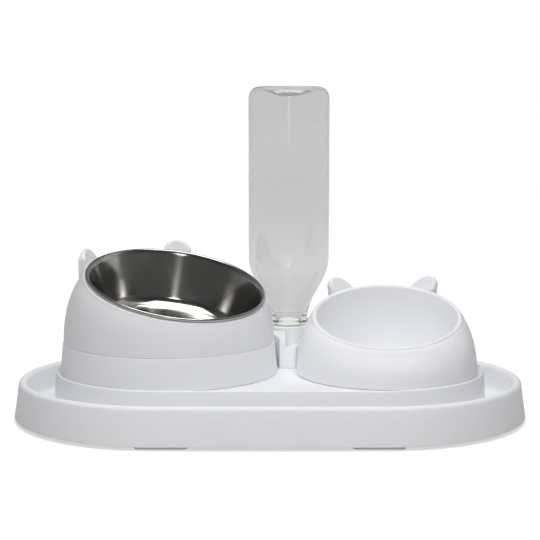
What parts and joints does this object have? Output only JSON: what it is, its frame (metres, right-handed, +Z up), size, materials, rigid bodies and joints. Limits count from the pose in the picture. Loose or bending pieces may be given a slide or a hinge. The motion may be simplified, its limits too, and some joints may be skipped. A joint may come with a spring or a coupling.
{
  "type": "cat feeding station",
  "caption": "Tray with a swivelling slanted stand holding a loose steel food bowl, a slanted water bowl with ears, and an inverted water bottle with a valve cap in a seat between them.",
  "frame": {"origin": "middle of the tray's footprint, on the surface the pads stand on", "axes": "+X along the tray from the food bowl to the water bowl, +Y from the front to the back where the bottle stands, +Z up"},
  "size_m": [0.4094, 0.2414, 0.2631],
  "materials": {
    "white_plastic": "satin moulded white plastic",
    "cap_plastic": "off-white moulded plastic",
    "stainless_steel": "polished stainless steel",
    "bottle_plastic": "clear blown bottle plastic",
    "pad_rubber": "soft matt grey",
    "seal_silicone": "translucent soft silicone",
    "spring_steel": "drawn wire"
  },
  "bodies": {
    "base": {"base_tray": "white_plastic", "anti_slip_pad_front_left": "pad_rubber", "anti_slip_pad_front_right": "pad_rubber", "anti_slip_pad_rear_left": "pad_rubber", "anti_slip_pad_rear_right": "pad_rubber"},
    "stand_ring": {"food_stand_ring": "white_plastic"},
    "stand_shell": {"food_stand_shell": "white_plastic"},
    "food_bowl": {"steel_bowl": "stainless_steel"},
    "water_unit": {"water_bowl": "white_plastic", "bottle_seat": "white_plastic", "inlet_grommet": "seal_silicone"},
    "valve": {"valve_stem": "cap_plastic", "valve_seal": "seal_silicone"},
    "cap": {"bottle_cap": "cap_plastic", "spring_cage": "cap_plastic", "valve_spring": "spring_steel"},
    "gasket": {"cap_gasket": "seal_silicone"},
    "bottle": {"water_bottle": "bottle_plastic"}
  },
  "joints": [
    {"name": "stand_swivel", "type": "hinge", "parent": "base", "child": "stand_ring", "pos_m": [-0.081, 0, 0.0375], "axis": [0, 0, 1], "continuous": true},
    {"name": "shell_lift", "type": "slide", "parent": "stand_ring", "child": "stand_shell", "axis": [0, 0, 1], "range_m": [0, 0.02]},
    {"name": "steel_bowl_lift", "type": "slide", "parent": "stand_shell", "child": "food_bowl", "axis": [0, 0, 1], "range_m": [0, 0.065]},
    {"name": "water_bowl_lift", "type": "slide", "parent": "base", "child": "water_unit", "axis": [0, 0, 1], "range_m": [0, 0.05]},
    {"name": "bottle_lift", "type": "slide", "parent": "water_unit", "child": "valve", "axis": [0, 0, 1], "range_m": [0, 0.07]},
    {"name": "valve_close", "type": "slide", "parent": "valve", "child": "cap", "axis": [0, 0, 1], "range_m": [0, 0.0035], "stiffness_N_per_m": 50, "springref_m": 0.006, "deforming": ["valve_spring"]},
    {"name": "bottle_rise", "type": "slide", "parent": "cap", "child": "gasket", "axis": [0, 0, 1], "range_m": [0, 0.0065]},
    {"name": "bottle_unscrew", "type": "hinge", "parent": "gasket", "child": "bottle", "pos_m": [0.0157, 0.06316, 0.0513], "axis": [0, 0, 1], "range_deg": [0, 720]}
  ],
  "couplings": [
    {"joint": "bottle_rise", "follows": "bottle_unscrew", "m_per_rad": 0.0005093}
  ]
}
